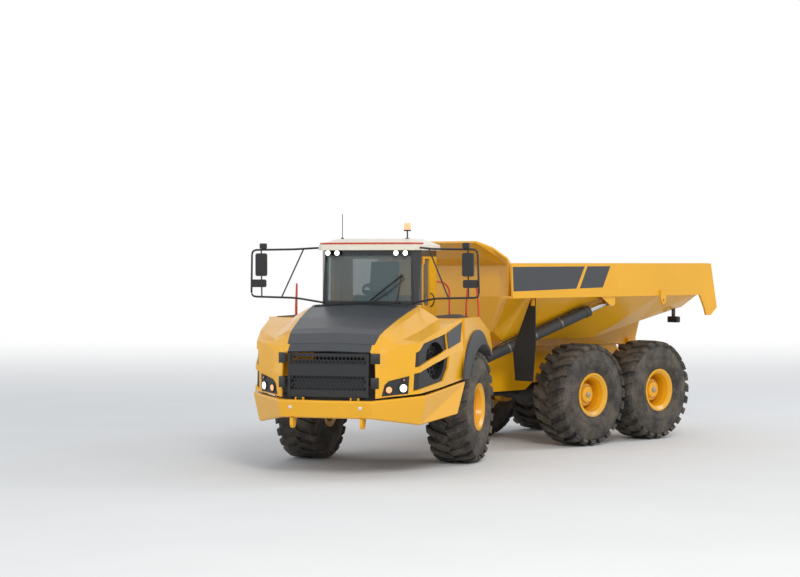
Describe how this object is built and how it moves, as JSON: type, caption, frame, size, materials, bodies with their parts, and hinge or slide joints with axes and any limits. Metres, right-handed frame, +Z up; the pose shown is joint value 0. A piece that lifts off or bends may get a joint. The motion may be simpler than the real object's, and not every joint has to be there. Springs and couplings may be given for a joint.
{
  "type": "articulated dump truck",
  "caption": "Articulated six-wheel dump truck: a front unit with cab and sloping hood, hinged to a rear unit with a tipping body on a bogie.",
  "frame": {"origin": "on the ground under the middle of the whole machine's box, steered as parked", "axes": "+X forward along the rear unit, +Y to its left, +Z up"},
  "size_m": [11.1592, 4.8472, 4.1703],
  "materials": {
    "yellow_paint": "satin golden yellow paint",
    "grey_paint": "satin dark grey paint",
    "charcoal_plastic": "charcoal",
    "chromed_rod": "ground and chromed",
    "glass": "lightly tinted",
    "lamp_glass": "clear lens",
    "cream_paint": "cream gloss paint",
    "orange_paint": "red-orange paint",
    "rubber": "matt black",
    "tyre": "dusty black rubber"
  },
  "bodies": {
    "rear_unit": {"rear_frame": "yellow_paint", "bogie_beams": "yellow_paint", "bogie_axles": "grey_paint", "driveshaft": "grey_paint"},
    "hitch": {"hitch": "grey_paint"},
    "front_unit": {"front_frame": "grey_paint", "front_axle": "grey_paint", "engine": "grey_paint", "bumper": "yellow_paint", "tow_lugs": "grey_paint", "wings": "yellow_paint", "arch_flares": "charcoal_plastic", "steps": "grey_paint", "radiator": "grey_paint", "cab_shell": "yellow_paint", "cab_roof": "cream_paint", "cab_glass": "glass", "cab_interior": "charcoal_plastic", "roof_lamps": "lamp_glass", "mirrors": "charcoal_plastic", "handrails": "orange_paint"},
    "hood": {"hood": "charcoal_plastic", "hood_sides": "yellow_paint", "hood_centre": "charcoal_plastic", "hood_vents": "charcoal_plastic", "headlamps": "lamp_glass"},
    "grille": {"grille": "charcoal_plastic"},
    "door": {"cab_door": "charcoal_plastic", "door_glass": "glass"},
    "dump_body": {"dump_body": "yellow_paint", "side_eyes": "yellow_paint", "splash_flaps": "rubber"},
    "hoist_barrel_left": {"hoist_barrel_left": "grey_paint"},
    "hoist_barrel_right": {"hoist_barrel_right": "grey_paint"},
    "hoist_rod_left": {"hoist_rod_left": "chromed_rod"},
    "hoist_rod_right": {"hoist_rod_right": "chromed_rod"},
    "steer_barrel_left": {"steer_barrel_left": "grey_paint"},
    "steer_barrel_right": {"steer_barrel_right": "grey_paint"},
    "steer_rod_left": {"steer_rod_left": "chromed_rod"},
    "steer_rod_right": {"steer_rod_right": "chromed_rod"},
    "wheel_front_left": {"tyre_front_left": "tyre", "rim_front_left": "yellow_paint"},
    "wheel_front_right": {"tyre_front_right": "tyre", "rim_front_right": "yellow_paint"},
    "wheel_mid_left": {"tyre_mid_left": "tyre", "rim_mid_left": "yellow_paint"},
    "wheel_mid_right": {"tyre_mid_right": "tyre", "rim_mid_right": "yellow_paint"},
    "wheel_rear_left": {"tyre_rear_left": "tyre", "rim_rear_left": "yellow_paint"},
    "wheel_rear_right": {"tyre_rear_right": "tyre", "rim_rear_right": "yellow_paint"}
  },
  "joints": [
    {"name": "hitch_roll", "type": "hinge", "parent": "rear_unit", "child": "hitch", "pos_m": [0.428, -0.716, 1.14], "axis": [1, 0, 0], "range_deg": [-15, 15]},
    {"name": "steering", "type": "hinge", "parent": "hitch", "child": "front_unit", "pos_m": [1.228, -0.716, 1.14], "axis": [0, 0, 1], "range_deg": [-74, 16]},
    {"name": "dump_tip", "type": "hinge", "parent": "rear_unit", "child": "dump_body", "pos_m": [-4.332, -0.716, 1.79], "axis": [0, -1, 0], "range_deg": [0, 70]},
    {"name": "hoist_swing_left", "type": "hinge", "parent": "rear_unit", "child": "hoist_barrel_left", "pos_m": [0.328, 0.084, 1.58], "axis": [0.4252, 0.577, 0.6973], "range_deg": [0, 7.81]},
    {"name": "hoist_stroke_left", "type": "slide", "parent": "hoist_barrel_left", "child": "hoist_rod_left", "axis": [-0.9047, 0.2476, 0.3467], "range_m": [0, 2.3416]},
    {"name": "hoist_swing_right", "type": "hinge", "parent": "rear_unit", "child": "hoist_barrel_right", "pos_m": [0.328, -1.516, 1.58], "axis": [-0.4252, 0.577, -0.6973], "range_deg": [0, 7.81]},
    {"name": "hoist_stroke_right", "type": "slide", "parent": "hoist_barrel_right", "child": "hoist_rod_right", "axis": [-0.9047, -0.2476, 0.3467], "range_m": [0, 2.3416]},
    {"name": "steer_swing_left", "type": "hinge", "parent": "hitch", "child": "steer_barrel_left", "pos_m": [0.978, -0.236, 1.01], "axis": [0, 0, 1], "range_deg": [-57.75, 12.49]},
    {"name": "steer_stroke_left", "type": "slide", "parent": "steer_barrel_left", "child": "steer_rod_left", "axis": [0.9394, 0.3428, 0], "range_m": [-0.1156, 0.5311]},
    {"name": "steer_swing_right", "type": "hinge", "parent": "hitch", "child": "steer_barrel_right", "pos_m": [0.978, -1.196, 1.01], "axis": [0, 0, 1], "range_deg": [-62.51, 13.52]},
    {"name": "steer_stroke_right", "type": "slide", "parent": "steer_barrel_right", "child": "steer_rod_right", "axis": [0.896, 0.4441, 0], "range_m": [-0.6053, 0.1317]},
    {"name": "spin_front_left", "type": "hinge", "parent": "front_unit", "child": "wheel_front_left", "pos_m": [1.81349, 1.11548, 0.935], "axis": [-0.4848, 0.8746, 0], "continuous": true},
    {"name": "spin_front_right", "type": "hinge", "parent": "front_unit", "child": "wheel_front_right", "pos_m": [3.09145, -1.19002, 0.935], "axis": [-0.4848, 0.8746, 0], "continuous": true},
    {"name": "spin_mid_left", "type": "hinge", "parent": "rear_unit", "child": "wheel_mid_left", "pos_m": [-1.882, 0.602, 0.935], "axis": [0, 1, 0], "continuous": true},
    {"name": "spin_mid_right", "type": "hinge", "parent": "rear_unit", "child": "wheel_mid_right", "pos_m": [-1.882, -2.034, 0.935], "axis": [0, 1, 0], "continuous": true},
    {"name": "spin_rear_left", "type": "hinge", "parent": "rear_unit", "child": "wheel_rear_left", "pos_m": [-3.822, 0.602, 0.935], "axis": [0, 1, 0], "continuous": true},
    {"name": "spin_rear_right", "type": "hinge", "parent": "rear_unit", "child": "wheel_rear_right", "pos_m": [-3.822, -2.034, 0.935], "axis": [0, 1, 0], "continuous": true},
    {"name": "door_swing", "type": "hinge", "parent": "front_unit", "child": "door", "pos_m": [2.65459, 1.08321, 2.9], "axis": [0, 0, -1], "range_deg": [0, 75]},
    {"name": "hood_lift", "type": "hinge", "parent": "front_unit", "child": "hood", "pos_m": [3.45391, 0.51784, 2.6], "axis": [0.4848, -0.8746, 0], "range_deg": [0, 70]},
    {"name": "grille_fold", "type": "hinge", "parent": "front_unit", "child": "grille", "pos_m": [5.09732, 1.4288, 1.25], "axis": [-0.4848, 0.8746, 0], "range_deg": [0, 90]}
  ],
  "couplings": [
    {"joint": "hoist_swing_left", "follows": "dump_tip", "ratio": 0.11146},
    {"joint": "hoist_stroke_left", "follows": "dump_tip", "m_per_rad": 1.9158},
    {"joint": "hoist_swing_right", "follows": "dump_tip", "ratio": 0.11146},
    {"joint": "hoist_stroke_right", "follows": "dump_tip", "m_per_rad": 1.9158},
    {"joint": "steer_swing_left", "follows": "steering", "ratio": 0.78026},
    {"joint": "steer_stroke_left", "follows": "steering", "m_per_rad": -0.41044},
    {"joint": "steer_swing_right", "follows": "steering", "ratio": 0.84461},
    {"joint": "steer_stroke_right", "follows": "steering", "m_per_rad": 0.4679}
  ]
}
